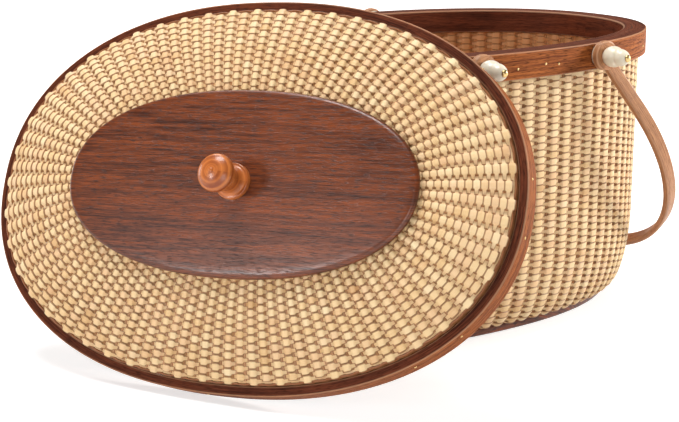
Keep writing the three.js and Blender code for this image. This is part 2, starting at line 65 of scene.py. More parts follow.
# Brads in half of each band, as angle in degrees and height; the other half has the same
RIM_BRADS = ((-95.6, 0.1935), (-89.5, 0.1950), (-86.4, 0.1940), (-46.9, 0.1935), (-134.0, 0.1945))
LID_BRADS = (
    (6.8, -0.0065), (-6.5, -0.0055), (-35.9, -0.0045),
    (-49.1, -0.0060), (-92.0, -0.0060), (-140.0, -0.0055),
)

# Camera fitted to the photo: place, turn, and focal length in pixels of a picture this wide
CAMERA_PLACE = (-0.81572, -0.95992, 0.35928)
CAMERA_TURN = (math.pi / 2 - 0.22714, 0.0, -math.radians(37.616))
CAMERA_FOCUS, PHOTO_WIDTH, SENSOR_WIDTH = 1702.5, 679, 36.0

# Lamps, each with its direction from the place they aim at, distance, size and power
LAMP_AIM = (-0.05, -0.03, 0.12)
LAMPS = (
    ("key", (0.84, -0.46, 0.30), 2.0, 0.6, 36.0),
    ("top", (-0.15, 0.12, 0.97), 2.2, 1.2, 48.0),
    ("left", (-0.965, -0.03, 0.22), 2.2, 0.5, 13.0),
    ("front", (-0.58, -0.80, 0.12), 2.4, 1.2, 15.0),
    ("back", (0.235, 0.654, 0.72), 2.4, 1.0, 14.0),
    ("back_left", (-0.40, 0.90, 0.12), 2.4, 0.9, 8.0),
)


def length(name, description, default):
    return FloatProperty(name=name, description=description, default=default, unit="LENGTH", precision=4)


def colour(name, description, default):
    return FloatVectorProperty(
        name=name, description=description, default=default, subtype="COLOR", size=3, min=0.0, max=1.0
    )


class BasketSizes(bpy.types.PropertyGroup):
    """Sizes of the hoops, boards and handles"""

    half_length: length("Half Length", "Half the length of the rim", 0.190)
    half_width: length("Half Width", "Half the width of the rim", 0.1293)
    rim_top: length("Rim Top", "Height of the rim's top face", 0.205)
    outer_height: length("Outer Hoop Height", "Height of the outer hoop's band", 0.019)
    outer_thickness: length("Outer Hoop Thickness", "Thickness of the outer hoop's band", 0.0055)
    cap_thickness: length("Cap Thickness", "Thickness of the outer hoop's flange", 0.004)
    inner_inset: length("Inner Hoop Inset", "From the rim's outside to the inner hoop", 0.0106)
    inner_thickness: length("Inner Hoop Thickness", "Thickness of the inner hoop", 0.0065)
    inner_height: length("Inner Hoop Height", "Height of the inner hoop", 0.018)
    fit: length("Fit", "Gap between pieces that touch", 0.0003)
    hoop_edge: length("Hoop Edge", "Rounding of the hoops' corners", 0.0011)
    base_half_length: length("Base Half Length", "Half the length of the base board", 0.1643)
    base_half_width: length("Base Half Width", "Half the width of the base board", 0.1036)
    base_foot: length("Base Foot", "Thickness of the base below its groove", 0.007)
    groove_roof: length("Groove Roof", "Height of the groove's upper face", 0.0121)
    groove_depth: length("Groove Depth", "Depth of the groove for the staves", 0.009)
    base_top: length("Base Top", "Height of the base board's upper face", 0.0171)
    lid_thickness: length("Lid Hoop Thickness", "Thickness of the lid's outer hoop", 0.0065)
    lid_height: length("Lid Hoop Height", "Height of the lid's outer hoop", 0.015)
    lip_inset: length("Lip Inset", "From the lid's outside to its lip", 0.0177)
    lip_thickness: length("Lip Thickness", "Thickness of the lid's lip", 0.0045)
    lip_depth: length("Lip Depth", "How far the lip drops below the hoop", 0.005)
    plaque_half_length: length("Plaque Half Length", "Half the length of the lid's plaque", 0.1245)
    plaque_half_width: length("Plaque Half Width", "Half the width of the lid's plaque", 0.061)
    plaque_along: length("Plaque Along", "Plaque's middle along the lid", 0.0037)
    plaque_across: length("Plaque Across", "Plaque's middle across the lid", 0.0021)
    plaque_seat: length("Plaque Seat", "Height of the plaque's underside over the hoop", 0.0173)
    plaque_thickness: length("Plaque Thickness", "Thickness of the plaque's edge", 0.006)
    plaque_crown: length("Plaque Crown", "How far the plaque's face swells", 0.0012)
    pivot_x: length("Pivot Along", "Handle pivots along the basket", 0.058)
    pivot_z: length("Pivot Height", "Height of the handle pivots", 0.1965)
    handle_thickness: length("Handle Thickness", "Thickness of the bent strip", 0.005)
    grip_width: length("Grip Width", "Width of the strip at its crown", 0.0105)
    neck_width: length("Neck Width", "Width of the strip above its paddle", 0.0095)
    paddle_radius: length("Paddle Radius", "Radius of the handle's round ends", 0.0105)
    washer_radius: length("Washer Radius", "Radius of the bone washers", 0.0085)
    washer_thickness: length("Washer Thickness", "Thickness of the bone washers", 0.0022)


class WeaveSizes(bpy.types.PropertyGroup):
    """Counts and sizes of the cane weave"""

    wall_staves: IntProperty(name="Wall Staves", description="Staves round the wall", default=78, min=8)
    lid_staves: IntProperty(name="Lid Staves", description="Staves round the lid", default=100, min=8)
    row: length("Row Pitch", "Distance between weaver rows", 0.0025)
    cane_width: length("Cane Width", "Width of a weaver where it passes over a stave", 0.0049)
    cane_thickness: length("Cane Thickness", "Thickness of a weaver", 0.0012)
    wall_sway: length("Wall Sway", "How far a weaver of the wall swings out and in", 0.0017)
    lid_sway: length("Lid Sway", "How far a weaver of the lid swings out and in", 0.0015)
    middle: length("Middle", "Depth of the staves below the wall's face", 0.0017)
    stave_width: length("Stave Width", "Width of a stave at the wall", 0.0098)
    stave_thickness: length("Stave Thickness", "Thickness of a stave", 0.0011)


class BasketFinishes(bpy.types.PropertyGroup):
    """Colours of the woods, cane, bone and brass"""

    walnut_dark: colour("Walnut Dark", "Dark grain of the walnut", (0.048, 0.010, 0.003))
    walnut_light: colour("Walnut Light", "Light grain of the walnut", (0.250, 0.060, 0.018))
    hoop_dark: colour("Hoop Dark", "Dark grain of the hoops' tops", (0.045, 0.010, 0.004))
    hoop_light: colour("Hoop Light", "Light grain of the hoops' tops", (0.160, 0.038, 0.014))
    band_dark: colour("Band Dark", "Dark grain of the hoops' outer bands", (0.130, 0.028, 0.007))
    band_light: colour("Band Light", "Light grain of the hoops' outer bands", (0.440, 0.128, 0.026))
    handle_dark: colour("Handle Dark", "Dark grain of the handles", (0.290, 0.115, 0.046))
    handle_light: colour("Handle Light", "Light grain of the handles", (0.540, 0.255, 0.115))
    # Partly real rubbed wear, partly a painted highlight along the eased edges of hoops and handles
    worn_edge_highlight: colour("Worn Edge", "Rubbed edges of the hoops and handles", (0.600, 0.340, 0.200))
    cherry_dark: colour("Cherry Dark", "Dark grain of the lid's knob", (0.270, 0.054, 0.010))
    cherry_light: colour("Cherry Light", "Light grain of the lid's knob", (0.660, 0.200, 0.045))
    cane_pale: colour("Cane Pale", "Palest cane", (0.900, 0.700, 0.420))
    cane_straw: colour("Cane Straw", "Usual cane", (0.810, 0.545, 0.265))
    cane_honey: colour("Cane Honey", "Darkest cane", (0.540, 0.275, 0.100))
    cane_rose: colour("Cane Rose", "Rosy cane", (0.760, 0.440, 0.250))
    # Painted shade: the dark colour laid along strand edges and where weavers dip into a crossing
    cane_gap_shade: colour("Cane Gap", "Cane deep in a crossing", (0.260, 0.090, 0.026))
    # Painted warm shade: the colour that the inner faces of the cane are mixed towards
    cane_inside_shade: colour("Cane Inside", "Cane on the inner face", (0.800, 0.350, 0.120))
    bone: colour("Bone", "Bone knobs and washers", (0.810, 0.725, 0.575))
    brass: colour("Brass", "Pins, brads and screw", (0.680, 0.470, 0.200))
    floor: colour("Floor", "Studio floor", (0.720, 0.720, 0.715))


def sizes():
    return bpy.context.scene.basket_sizes


def weave():
    return bpy.context.scene.basket_weave


def finishes():
    return bpy.context.scene.basket_finishes


# Nodes


def maths(operation, swapped=False):
    """An operator of Wire, as one Math node"""

    def apply(self, other):
        first, second = (other, self) if swapped else (self, other)
        return self.bench.add("ShaderNodeMath", {"operation": operation}, {0: first, 1: second})

    return apply


class Wire:
    """An output socket that takes part in Python expressions"""

    __add__, __radd__ = maths("ADD"), maths("ADD", True)
    __sub__, __rsub__ = maths("SUBTRACT"), maths("SUBTRACT", True)
    __mul__, __rmul__ = maths("MULTIPLY"), maths("MULTIPLY", True)
    __truediv__ = maths("DIVIDE")

    def __init__(self, bench, socket):
        self.bench = bench
        self.socket = socket


class Bench:
    """Adds nodes to one tree"""

    def __init__(self, tree):
        self.tree = tree

    def add(self, kind, settings=None, values=None, output=0):
        """Add a node, set it up, fill or link its sockets and give one output"""
        node = self.tree.nodes.new(kind)
        for key, value in (settings or {}).items():
            if key == "stops":
                self._stops(node.color_ramp, value)
            else:
                setattr(node, key, value)
        for key, value in (values or {}).items():
            socket = node.inputs[key]
            if isinstance(value, Wire):
                self.tree.links.new(value.socket, socket)
            elif socket.type == "RGBA" and len(value) == 3:
                socket.default_value = (*value, 1.0)
            else:
                socket.default_value = value
        return Wire(self, node.outputs[output]) if len(node.outputs) else None

    def _stops(self, ramp, stops):
        while len(ramp.elements) < len(stops):
            ramp.elements.new(1.0)
        for element, (position, value) in zip(ramp.elements, stops):
            element.position = position
            element.color = (value, value, value, 1.0)


class Shop(Bench):
    """Builds the nodes of one material or world"""

    def __init__(self, owner):
        owner.use_nodes = True
        super().__init__(owner.node_tree)
        self.tree.nodes.clear()
        self.owner = owner

    def ramp(self, value, *stops):
        return self.add("ShaderNodeValToRGB", {"stops": stops}, {"Fac": value})

    def mix(self, factor, first, second):
        values = {"Factor": factor, 6: first, 7: second}
        return self.add("ShaderNodeMix", {"data_type": "RGBA"}, values, output=2)

    def noise(self, vector, scale, detail=2.0, roughness=0.5):
        values = {"Vector": vector, "Scale": scale, "Detail": detail, "Roughness": roughness}
        return self.add("ShaderNodeTexNoise", {}, values)

    def streaks(self, vector, scale, detail=2.0, roughness=0.5):
        """Noise with its own scale along each axis"""
        drawn = self.add("ShaderNodeMapping", {}, {"Vector": vector, "Scale": scale})
        return self.noise(drawn, 1.0, detail, roughness)

    def object_place(self):
        return self.add("ShaderNodeTexCoord", output="Object")

    def grain_place(self):
        return self.add("ShaderNodeUVMap", {"uv_map": GRAIN})

    def attribute(self, name):
        return self.add("ShaderNodeAttribute", {"attribute_name": name}, output="Fac")

    def bump(self, height, strength, distance):
        values = {"Height": height, "Strength": strength, "Distance": distance}
        return self.add("ShaderNodeBump", {}, values)

    def surface(self, **values):
        names = {
            "colour": "Base Color", "roughness": "Roughness", "metallic": "Metallic", "normal": "Normal",
            "coat": "Coat Weight", "coat_roughness": "Coat Roughness", "subsurface": "Subsurface Weight",
            "specular": "Specular IOR Level",
        }
        shader = self.add("ShaderNodeBsdfPrincipled", {}, {names[k]: v for k, v in values.items()})
        self.add("ShaderNodeOutputMaterial", {}, {"Surface": shader})


# Finishes


def wood(shop, dark, light, band=None, *, gloss, pores, figure=1.0, coat=0.0, specular=0.4):
    """Oiled wood whose grain runs along the first axis of the piece's grain map, in metres"""
    place = shop.grain_place()
    drift = shop.streaks(place, (4.0, 60.0 * figure, 1.0), 3.0, 0.55)
    rings = shop.streaks(place, (16.0, 420.0 * figure, 1.0), 3.0, 0.6)
    fibre = shop.streaks(place, (60.0, 1300.0, 1.0), 2.0, 0.6)
    pore = shop.ramp(shop.streaks(place, (170.0, 1500.0, 1.0), 1.0), (0.54, 0.0), (0.66, 1.0))
    tone = shop.ramp(drift * 0.3 + rings * 0.42 + fibre * 0.34, (0.43, 0.0), (0.62, 1.0))
    # worn: eased edges, lightened half way to the worn-edge colour as real wear and as a painted highlight
    worn = shop.attribute("worn")
    shadow = tuple(0.4 * c for c in dark)
    if band is not None:
        side = shop.attribute("band")
        dark, light = shop.mix(side, dark, band[0]), shop.mix(side, light, band[1])
    body = shop.mix(tone, dark, light)
    marked = shop.mix(pore * pores, body, shadow)
    shop.surface(
        colour=shop.mix(worn * 0.5, marked, finishes().worn_edge_highlight),
        roughness=gloss + 0.16 * fibre + 0.18 * pore - 0.08 * tone - 0.16 * worn,
        normal=shop.bump(fibre * 0.35 - pore, 0.35, 0.0002),
        specular=specular,
        coat=coat,
        coat_roughness=0.28,
    )


def cherry(shop, dark, light):
    """Polished turned wood: soft rings round the axis, fine grain along it"""
    place = shop.grain_place()
    rings = shop.streaks(place, (3.0, 420.0, 1.0), 3.0)
    cloud = shop.streaks(place, (60.0, 60.0, 1.0), 3.0)
    tone = shop.ramp(rings * 0.65 + cloud * 0.35, (0.36, 0.0), (0.62, 1.0))
    shop.surface(
        colour=shop.mix(tone, dark, light),
        roughness=0.26 + 0.12 * rings,
        normal=shop.bump(rings, 0.2, 0.0004),
        specular=0.35,
        coat=0.2,
        coat_roughness=0.12,
    )


def cane(shop, pale, straw, honey, shade):
    """Split cane: each pass has its own tone, with fibres along it, painted shade along its edges and where
    it dips, and a painted warm shade on the back
    """
    f = finishes()
    tone, across, back = (shop.attribute(name) for name in ("tone", "across", "back"))
    lines = {"X": shop.attribute("along") * 60.0, "Y": across * 9.0, "Z": tone * 31.0}
    fibre = shop.noise(shop.add("ShaderNodeCombineXYZ", {}, lines), 1.0, 3.0, 0.65)
    patch = shop.noise(shop.object_place(), 22.0)
    level = tone * 0.62 + patch * 0.16 + fibre * 0.36
    bright = shop.mix(shop.ramp(level, (0.5, 0.0), (0.84, 1.0)), straw, pale)
    body = shop.mix(shop.ramp(level, (0.28, 1.0), (0.54, 0.0)), bright, honey)
    hue = shop.add("ShaderNodeMath", {"operation": "FRACT"}, {0: tone * 9.7})
    tinted = shop.mix(shop.ramp(hue, (0.5, 0.0), (0.95, 0.4)), body, f.cane_rose)
    # Painted warm shade: the back of each strand is mixed three quarters of the way to the inside colour
    faced = shop.mix(back * 0.75, tinted, f.cane_inside_shade)
    # Painted shade: the strand's edges darken towards the gap colour, less on the back
    edge = shop.ramp(across * across, (0.76, 0.0), (1.0, 0.7)) * (1.0 - 0.35 * back)
    # Painted shade: where a weaver dips towards a crossing, its colour darkens towards the gap colour as far
    # as shade says
    dip_shade = shop.ramp(shop.attribute("out"), (0.0, 1.0), (0.6, 0.0))
    shop.surface(
        colour=shop.mix(dip_shade * shade, shop.mix(edge, faced, f.cane_gap_shade), f.cane_gap_shade),
        roughness=0.4 + 0.2 * fibre,
        normal=shop.bump(fibre, 0.3, 0.0003),
        specular=0.45,
    )


def bone(shop, shade):
    """Polished bone with faint streaks"""
    place = shop.object_place()
    streak = shop.streaks(place, (160.0, 40.0, 160.0), 3.0)
    fleck = shop.ramp(shop.noise(place, 900.0, 1.0), (0.62, 0.0), (0.72, 1.0))
    warm = tuple(c * k for c, k in zip(shade, (0.9, 0.82, 0.7)))
    shop.surface(
        colour=shop.mix(shop.ramp(streak, (0.4, 0.0), (0.8, 0.6)) + fleck * 0.2, shade, warm),
        roughness=0.26 + 0.14 * streak,
        normal=shop.bump(streak, 0.08, 0.0004),
        subsurface=0.06,
        coat=0.2,
        coat_roughness=0.15,
    )


def brass(shop, shade):
    """Polished brass with light scuffs"""
    scuff = shop.streaks(shop.object_place(), (700.0, 700.0, 1400.0))
    worn = tuple(0.62 * c for c in shade)
    shop.surface(
        colour=shop.mix(shop.ramp(scuff, (0.45, 0.0), (0.75, 0.7)), shade, worn),
        roughness=0.2 + 0.22 * scuff,
        metallic=1.0,
        normal=shop.bump(scuff, 0.1, 0.0002),
    )


def finish(kind):
    """The named finish, made once"""
    name = f"dressed_{kind}"
    if name not in bpy.data.materials:
        f = finishes()
        hoop, band = (f.hoop_dark, f.hoop_light), (f.band_dark, f.band_light)
        handle = (f.handle_dark, f.handle_light)
        # Painted shade: the darkest cane, dimmed to six and to four tenths, for the staves and the hem seen
        # in the gaps and in the lid's slot
        honey_in_painted_shade, honey_in_deeper_painted_shade = (tuple(share * c for c in f.cane_honey) for share in (0.6, 0.4))
        maker, colours, looks = {
            "walnut": (wood, (f.walnut_dark, f.walnut_light), {"gloss": 0.25, "coat": 0.12, "pores": 0.7}),
            "hoop_walnut": (
                wood, (*hoop, band), {"figure": 1.6, "gloss": 0.54, "pores": 0.55, "specular": 0.1}
            ),
            "inner_walnut": (wood, hoop, {"figure": 0.5, "gloss": 0.52, "pores": 0.4, "specular": 0.1}),
            "handle_wood": (
                wood, handle, {"figure": 2.2, "gloss": 0.44, "coat": 0.04, "pores": 0.4, "specular": 0.25}
            ),
            "cherry": (cherry, (f.cherry_dark, f.cherry_light), {}),
            # shade is how far the cane is darkened towards the gap colour, as painted shade where it dips
            "cane": (cane, (f.cane_pale, f.cane_straw, f.cane_honey), {"shade": 0.2}),
            # Painted shade: staves and hem are cane painted darker, as if lying in shade
            "cane_in_painted_shade": (cane, (f.cane_honey, honey_in_painted_shade, honey_in_deeper_painted_shade), {"shade": 0.9}),
            "bone": (bone, (f.bone,), {}),
            "brass": (brass, (f.brass,), {}),
        }[kind]
        maker(Shop(bpy.data.materials.new(name)), *colours, **looks)
    return bpy.data.materials[name]


# Shapes


def run_of(steps):
    """Length run at each point of a path, from the lengths of its steps"""
    return np.concatenate([[0.0], np.cumsum(steps)])


def path_run(points):
    return run_of(np.linalg.norm(np.diff(points, axis=0), axis=1))


def oval(half_length, half_width, angles):
    """Points of the basket's oval, fuller at the shoulders than an ellipse"""
    c, s = np.cos(angles), np.sin(angles)
    power = 2.0 / OVAL_POWER
    x = half_length * np.sign(c) * np.abs(c) ** power
    y = half_width * np.sign(s) * np.abs(s) ** power
    return np.stack([x, y], -1)


def even_angles(half_length, half_width, shares):
    """Angles at these shares of the way round an oval"""
    fine = np.linspace(0.0, 2.0 * np.pi, 7201)
    run = path_run(oval(half_length, half_width, fine))
    return np.interp(shares * run[-1], run, fine)


def outward(ring):
    """Level unit normals of a closed ring of points that runs left about"""
    tangent = np.roll(ring, -1, 0) - np.roll(ring, 1, 0)
    normal = np.stack([tangent[:, 1], -tangent[:, 0]], -1)
    return normal / np.linalg.norm(normal, axis=1, keepdims=True)


def rounded(corners, steps=4):
    """Closed section from (x, z, radius) corners, each eased by its radius, and how far each point is
    lightened as worn edge and painted highlight
    """
    full_wear, lead = 0.001, 0.35
    shares = np.linspace(0, 1, steps + 1)
    points, worn = [], []
    for i, (x, z, radius) in enumerate(corners):
        here = np.array([x, z])
        before = np.array(corners[i - 1][:2]) - here
        after = np.array(corners[(i + 1) % len(corners)][:2]) - here
        before, after = before / np.linalg.norm(before), after / np.linalg.norm(after)
        start, end = here + before * radius, here + after * radius
        eased = [(1 - t) ** 2 * start + 2 * t * (1 - t) * here + t * t * end for t in shares]
        points.extend([start + before * lead * radius, *eased, end + after * lead * radius])
        edge_wear_and_highlight = min(1.0, radius / full_wear)
        worn.extend([0.0, *(edge_wear_and_highlight * 4 * t * (1 - t) for t in shares), 0.0])
    return np.array(points), np.array(worn)


def lid_place():
    """The leaning lid's place: its hoop's top face at z = 0, its plaque towards +Z"""
    heading, lean, spin = (math.radians(a) for a in (LID_HEADING, 90.0 - LID_LEAN, LID_SPIN))
    turn = Matrix.Rotation(heading, 4, "Z") @ Matrix.Rotation(lean, 4, "X") @ Matrix.Rotation(spin, 4, "Z")
    corners = {tuple(round(c, 5) for c in v.co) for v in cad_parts["lid_outer_rim"].data.vertices}
    middle = sum((Vector(c) for c in corners), Vector()) / len(corners)
    middle += turn.to_3x3() @ Vector((0.0, 0.0, sizes().lid_height / 2))
    return Matrix.Translation(middle) @ turn


def plaque_place():
    s = sizes()
    return lid_place() @ Matrix.Translation((s.plaque_along, s.plaque_across, 0.0))


def handle_drop():
    """How far the hanging handles lie below level"""
    s = sizes()
    crown_half = 0.004
    crown = [v.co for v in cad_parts["right_handle"].data.vertices if abs(v.co.y) < crown_half]
    x = sum(c.x for c in crown) / len(crown)
    z = sum(c.z for c in crown) / len(crown)
    return math.atan2(s.pivot_z - z, x - s.pivot_x)


def washer_seat():
    """How far out the rim's face lies where a washer first meets it"""
    s = sizes()
    along = (s.pivot_x - s.washer_radius) / s.half_length
    return s.half_width * (1 - along**OVAL_POWER) ** (1 / OVAL_POWER)


# Meshes


def grid_mesh(name, grid, close_along, close_round, uv=None):
    """Mesh over a grid of points [along, round], with a grain map in metres"""
    n, m = grid.shape[:2]
    along = np.linalg.norm(np.diff(grid, axis=0, append=grid[:1]), axis=2).mean(1)
    across = np.linalg.norm(np.diff(grid, axis=1, append=grid[:, :1]), axis=2).mean(0)
    u, v = run_of(along), run_of(across)
    faces, places = [], []
    for i in range(n if close_along else n - 1):
        for j in range(m if close_round else m - 1):
            corners = ((i, j), (i + 1, j), (i + 1, j + 1), (i, j + 1))
            faces.append([(a % n) * m + b % m for a, b in corners])
            places.extend((u[a], v[b]) if uv is None else uv[a % n, b % m] for a, b in corners)
    mesh = bpy.data.meshes.new(name)
    mesh.from_pydata(grid.reshape(-1, 3).tolist(), [], faces)
    layer = mesh.uv_layers.new(name=GRAIN)
    layer.data.foreach_set("uv", np.array(places, np.float32).ravel())
    return mesh


def close_mesh(mesh, sharp=50.0):
    """Merge poles, fill open ends, face everything outwards and shade smoothly"""
    work = bmesh.new()
    work.from_mesh(mesh)
    bmesh.ops.remove_doubles(work, verts=work.verts, dist=2e-7)
    ends = [e for e in work.edges if e.is_boundary]
    if ends:
        layer = work.loops.layers.uv[GRAIN]
        known = {v: v.link_loops[0][layer].uv.copy() for e in ends for v in e.verts}
        for face in bmesh.ops.holes_fill(work, edges=ends)["faces"]:
            for loop in face.loops:
                loop[layer].uv = known[loop.vert]
    bmesh.ops.recalc_face_normals(work, faces=work.faces)
    work.to_mesh(mesh)
    work.free()
    mesh.polygons.foreach_set("use_smooth", [True] * len(mesh.polygons))
    mesh.set_sharp_from_angle(angle=math.radians(sharp))
    return mesh


def piece(mesh, body, kind, nodes=(), place=None):
    """Put a finished mesh in the scene, on its body, in place of the solids it dresses"""
    if place is not None:
        mesh.transform(place)
    obj = bpy.data.objects.new(mesh.name, mesh)
    bpy.context.scene.collection.objects.link(obj)
    if kind is not None:
        mesh.materials.clear()
        mesh.materials.append(finish(kind))
    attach(obj, body)
    if nodes:
        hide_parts(*nodes)


def mark(mesh, label, values):
    """Store one value for each point, before points are merged"""
    data = mesh.attributes.new(label, "FLOAT", "POINT").data
    data.foreach_set("value", np.asarray(values, np.float32).ravel())


def oval_grid(half_length, half_width, section, count):
    """Grid of points where each (inset, z) of a section runs round an oval"""
    angles = even_angles(half_length, half_width, np.arange(count) / count)
    rings = [oval(half_length - q, half_width - q, angles) for q, _ in section]
    return np.stack([np.column_stack([r, np.full(count, z)]) for r, (_, z) in zip(rings, section)], 1)


def hoop_mesh(name, corners, count=224):
    """Hoop from a closed section of (inset, z, ease) corners round the rim's oval"""
    s = sizes()
    section, worn = rounded(corners)
    mesh = grid_mesh(name, oval_grid(s.half_length, s.half_width, section, count), True, True)
    mark(mesh, "band", np.tile(np.clip(1.0 - section[:, 0] / s.hoop_edge, 0.0, 1.0), count))
    # The finish lightens the eased corners, partly as wear and partly as a painted highlight
    mark(mesh, "worn", np.tile(worn, count))
    return close_mesh(mesh)


def board_mesh(name, half_length, half_width, section, count=200):
    """Solid oval board from (inset, z) rings, with straight grain that slides with height on its edges"""
    slide = 0.35
    grid = oval_grid(half_length, half_width, section, count)
    flat = grid[:, :, :2] + np.stack([np.zeros(grid.shape[:2]), slide * grid[:, :, 2]], -1)
    return close_mesh(grid_mesh(name, grid, True, False, uv=flat))


def turned_mesh(name, profile, sides):
    """Turned piece: a path of (radius, height) spun round Z"""
    turns = np.arange(sides)[:, None] / sides * 2.0 * np.pi
    radius, height = np.array(profile).T
    grid = np.stack([radius * np.cos(turns), radius * np.sin(turns), np.tile(height, (sides, 1))], -1)
    return close_mesh(grid_mesh(name, grid, True, False), sharp=38.0)


def arc(middle_r, middle_h, radius_r, radius_h, start, end, steps):
    """Arc of an ellipse as (radius, height) points, in degrees"""
    turns = np.radians(np.linspace(start, end, steps + 1))
    return [(middle_r + radius_r * math.cos(t), middle_h + radius_h * math.sin(t)) for t in turns]


# Geometry Nodes


class Grower(Bench):
    """Builds one geometry tree with named lengths and a material as its inputs"""

    def __init__(self, name, lengths):
        super().__init__(bpy.data.node_groups.new(name, "GeometryNodeTree"))
        face = self.tree.interface
        face.new_socket("Geometry", in_out="INPUT", socket_type="NodeSocketGeometry")
        for label in lengths:
            face.new_socket(label, in_out="INPUT", socket_type="NodeSocketFloat")
        face.new_socket("Material", in_out="INPUT", socket_type="NodeSocketMaterial")
        face.new_socket("Geometry", in_out="OUTPUT", socket_type="NodeSocketGeometry")
        sockets = self.tree.nodes.new("NodeGroupInput").outputs
        self.inputs = {label: Wire(self, sockets[label]) for label in ("Geometry", *lengths, "Material")}

    def stored(self, label, kind):
        return self.add("GeometryNodeInputNamedAttribute", {"data_type": kind}, {"Name": label})

    def store(self, geometry, label, value):
        values = {"Geometry": geometry, "Name": label, "Value": value}
        return self.add("GeometryNodeStoreNamedAttribute", {}, values)

    def end(self, geometry):
        """Smooth, realize and dress the geometry, and give the finished tree"""
        smooth = self.add("GeometryNodeSetShadeSmooth", {}, {"Geometry": geometry, "Shade Smooth": True})
        real = self.add("GeometryNodeRealizeInstances", {}, {"Geometry": smooth})
        dress = {"Geometry": real, "Material": self.inputs["Material"]}
        self.add("NodeGroupOutput", {}, {0: self.add("GeometryNodeSetMaterial", {}, dress)})
        return self.tree


def strand_tree():
    """Sweeps a flat eased section along strands, facing the way each point says

    Each point of the sweep is told its place across the strand, -1 to 1, and whether it is on the back.
    """
    name, lengths = "Cane Strands", ("Width", "Thickness", "Edge")
    if name in bpy.data.node_groups:
        return bpy.data.node_groups[name]
    grow = Grower(name, lengths)
    width, thickness, edge = (grow.inputs[label] for label in lengths)
    facing, girth = grow.stored("facing", "FLOAT_VECTOR"), grow.stored("girth", "FLOAT")
    curve = grow.add("GeometryNodeMeshToCurve", {}, {"Mesh": grow.inputs["Geometry"]})
    faced = grow.add("GeometryNodeSetCurveNormal", {"mode": "FREE"}, {"Curve": curve, "Normal": facing})
    flat = grow.add("GeometryNodeCurvePrimitiveQuadrilateral", {}, {"Width": thickness, "Height": width})
    corner = {"Curve": flat, "Count": 1, "Radius": edge}
    eased = grow.add("GeometryNodeFilletCurve", {"mode": "POLY"}, corner)
    place = grow.add("GeometryNodeInputPosition")
    depth, side = (grow.add("ShaderNodeSeparateXYZ", {}, {0: place}, output=axis) for axis in "XY")
    across = side * 2.0 / (width - edge * 2.0)
    back = grow.add("ShaderNodeMath", {"operation": "LESS_THAN"}, {0: depth, 1: 0.0})
    section = grow.store(grow.store(eased, "across", across), "back", back)
    sweep = {"Curve": faced, "Profile Curve": section, "Scale": girth, "Fill Caps": True}
    return grow.end(grow.add("GeometryNodeCurveToMesh", {}, sweep))


def brad_tree():
    """Sets a domed nail head on each point, facing the way the point says"""
    name, lengths = "Brad Heads", ("Radius", "Height")
    if name in bpy.data.node_groups:
        return bpy.data.node_groups[name]
    grow = Grower(name, lengths)
    radius, height = (grow.inputs[label] for label in lengths)
    ball = grow.add("GeometryNodeMeshUVSphere", {}, {"Segments": 14, "Rings": 8, "Radius": 1.0})
    size = grow.add("ShaderNodeCombineXYZ", {}, {"X": radius, "Y": radius, "Z": height})
    head = grow.add("GeometryNodeTransform", {}, {"Geometry": ball, "Scale": size})
    facing = grow.stored("facing", "FLOAT_VECTOR")
    turn = grow.add("FunctionNodeAlignRotationToVector", {"axis": "Z"}, {"Vector": facing})
    points = grow.add("GeometryNodeMeshToPoints", {}, {"Mesh": grow.inputs["Geometry"]})
    heads = {"Points": points, "Instance": head, "Rotation": turn}
    return grow.end(grow.add("GeometryNodeInstanceOnPoints", {}, heads))


def grown(name, tree, points, edges, attributes, inputs):
    """Plain mesh that a tree grows from points, edges and point attributes"""
    seed = bpy.data.meshes.new(name + "_path")
    seed.from_pydata(np.asarray(points).tolist(), edges, [])
    for label, values in attributes.items():
        kind = "FLOAT_VECTOR" if np.ndim(values) == 2 else "FLOAT"
        field = "vector" if kind == "FLOAT_VECTOR" else "value"
        data = seed.attributes.new(label, kind, "POINT").data
        data.foreach_set(field, np.asarray(values, np.float32).ravel())
    maker = bpy.data.objects.new(name + "_path", seed)
    bpy.context.scene.collection.objects.link(maker)
    modifier = maker.modifiers.new("Grow", "NODES")
    modifier.node_group = tree
    for item in tree.interface.items_tree:
        if item.in_out == "INPUT" and item.name in inputs:
            modifier[item.identifier] = inputs[item.name]
    depsgraph = bpy.context.evaluated_depsgraph_get()
    mesh = bpy.data.meshes.new_from_object(maker.evaluated_get(depsgraph), depsgraph=depsgraph)
    maker.modifiers.remove(modifier)
    bpy.data.objects.remove(maker)
    bpy.data.meshes.remove(seed)
    mesh.name = name
    return mesh


# Weave


class Strands:
    """Collects strand paths with the values that the cane tree and finish read"""

    def __init__(self):
        self.points, self.edges = [], []
        self.values = {"facing": [], "girth": [], "tone": [], "out": [], "along": []}
        self.count = 0

    def lay(self, path, closed, **values):
        n, base = len(path), self.count
        self.points.append(path)
        self.edges.extend((base + i, base + (i + 1) % n) for i in range(n if closed else n - 1))
        values["along"] = path_run(path)
        for key, store in self.values.items():
            store.append(np.broadcast_to(values[key], (n, 3) if key == "facing" else (n,)))
        self.count += n

    def mesh(self, name, width, thickness, kind):
        inputs = {"Width": width, "Thickness": thickness, "Edge": 0.3 * thickness, "Material": finish(kind)}
        values = {key: np.concatenate(store) for key, store in self.values.items()}
        mesh = grown(name, strand_tree(), np.concatenate(self.points), self.edges, values, inputs)
        mesh.set_sharp_from_angle(angle=math.radians(40.0))
        return mesh


def below_face(ring, middle, z, normal, depth):
    """Points of a ring at their depth below the woven face, and the way they face"""
    out, up = normal
    facing = np.column_stack([outward(ring) * out, np.full(len(ring), up)])
    face = np.column_stack([ring + middle, np.full(len(ring), z)])
    return face - facing * np.reshape(depth, (-1, 1)), facing


